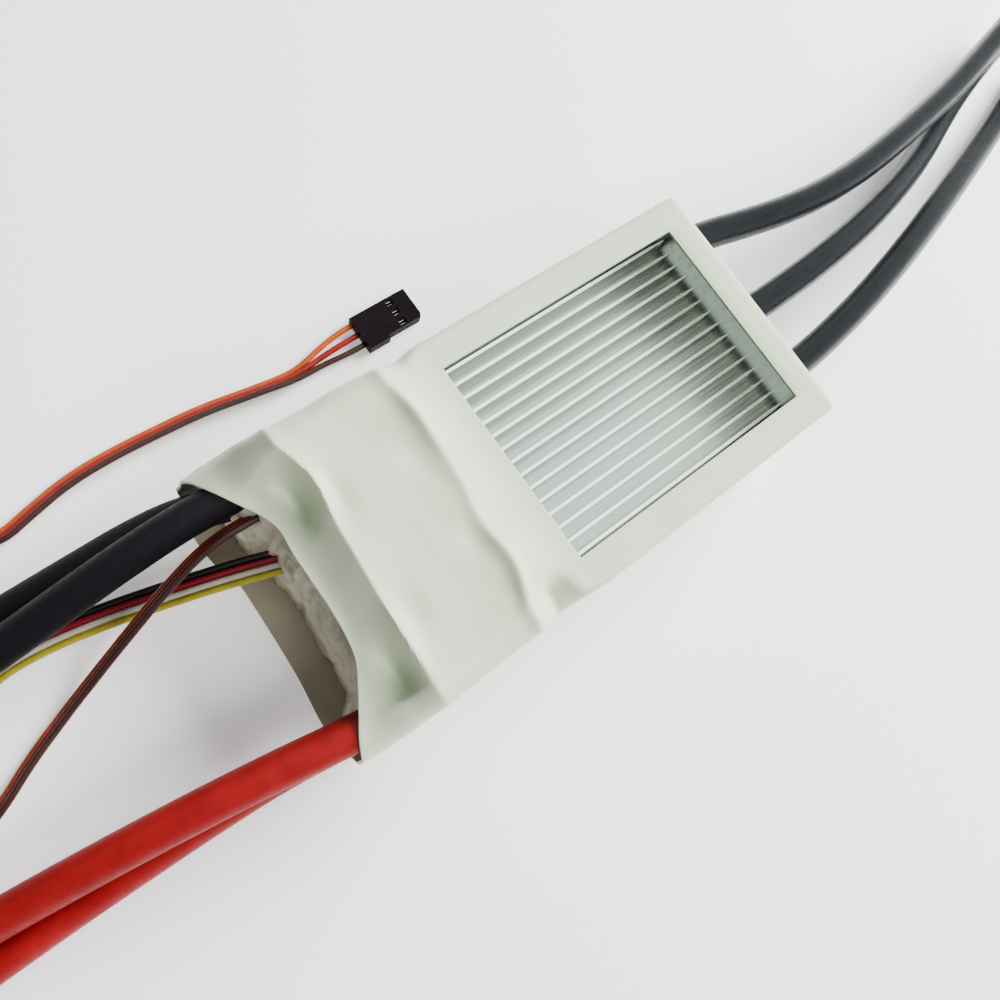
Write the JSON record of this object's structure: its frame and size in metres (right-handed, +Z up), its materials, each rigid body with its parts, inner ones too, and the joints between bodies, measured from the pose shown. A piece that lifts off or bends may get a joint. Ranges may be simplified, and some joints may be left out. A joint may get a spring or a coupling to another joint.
{
  "type": "electronic speed controller",
  "caption": "Flat white heat-shrink sleeved motor controller with a windowed finned heatsink, thick motor and battery wires, a servo lead with plug and a thin data lead.",
  "frame": {"origin": "on the surface the controller lies on, under the middle of the sleeve's length and of its straight sides", "axes": "+X along the sleeve to the motor wires, +Y across it to the black battery wires' side, +Z up through the heatsink"},
  "size_m": [0.3691, 0.0783, 0.028],
  "materials": {
    "sleeve": "satin",
    "aluminium": "machined",
    "pad": "matte",
    "chip": "matte",
    "board": "solder mask",
    "copper": "bare copper",
    "steel": "zinc plated",
    "film": "smooth film",
    "foam": "soft matte",
    "can": "printed sleeve left plain",
    "seal": "soft silicone",
    "wire_blue": "satin silicone",
    "wire_black": "satin silicone",
    "wire_red": "satin silicone",
    "tinned": "soldered, dull bright",
    "lead_servo": "satin, three strips orange, red and brown",
    "lead_data": "satin, four strips black, crimson, white and yellow",
    "plug": "satin",
    "contact": "plated"
  },
  "bodies": {
    "root": {"heat_shrink_sleeve": "sleeve", "heatsink": "aluminium", "thermal_pad": "pad", "power_transistors": "chip", "power_board": "board", "phase_bar_a": "copper", "phase_bar_b": "copper", "phase_bar_c": "copper", "control_board": "board", "microcontroller": "chip", "gate_drivers": "chip", "regulator_inductor": "chip", "board_pin_headers": "plug", "board_spacers": "steel", "heatsink_screws": "steel", "insulation_sheet": "film", "foam_pad": "foam", "capacitor_board": "board", "negative_bus_bar": "copper", "positive_bus_bar": "copper", "soldered_wire_ends": "tinned", "servo_lead": "lead_servo", "data_lead": "lead_data", "servo_lead_inner": "lead_servo", "data_lead_inner": "lead_data", "end_seal": "seal", "servo_plug": "plug", "servo_contacts": "contact", "data_plug": "plug", "data_contacts": "contact", "capacitor_1": "can", "capacitor_2": "can", "capacitor_3": "can", "capacitor_4": "can", "capacitor_5": "can", "capacitor_6": "can", "motor_wire_a": "wire_blue", "motor_wire_a_tip": "tinned", "motor_wire_b": "wire_blue", "motor_wire_b_tip": "tinned", "motor_wire_c": "wire_blue", "motor_wire_c_tip": "tinned", "battery_negative_wire_1": "wire_black", "battery_negative_wire_1_tip": "tinned", "battery_positive_wire_1": "wire_red", "battery_positive_wire_1_tip": "tinned", "battery_negative_wire_2": "wire_black", "battery_negative_wire_2_tip": "tinned", "battery_positive_wire_2": "wire_red", "battery_positive_wire_2_tip": "tinned"}
  },
  "joints": []
}
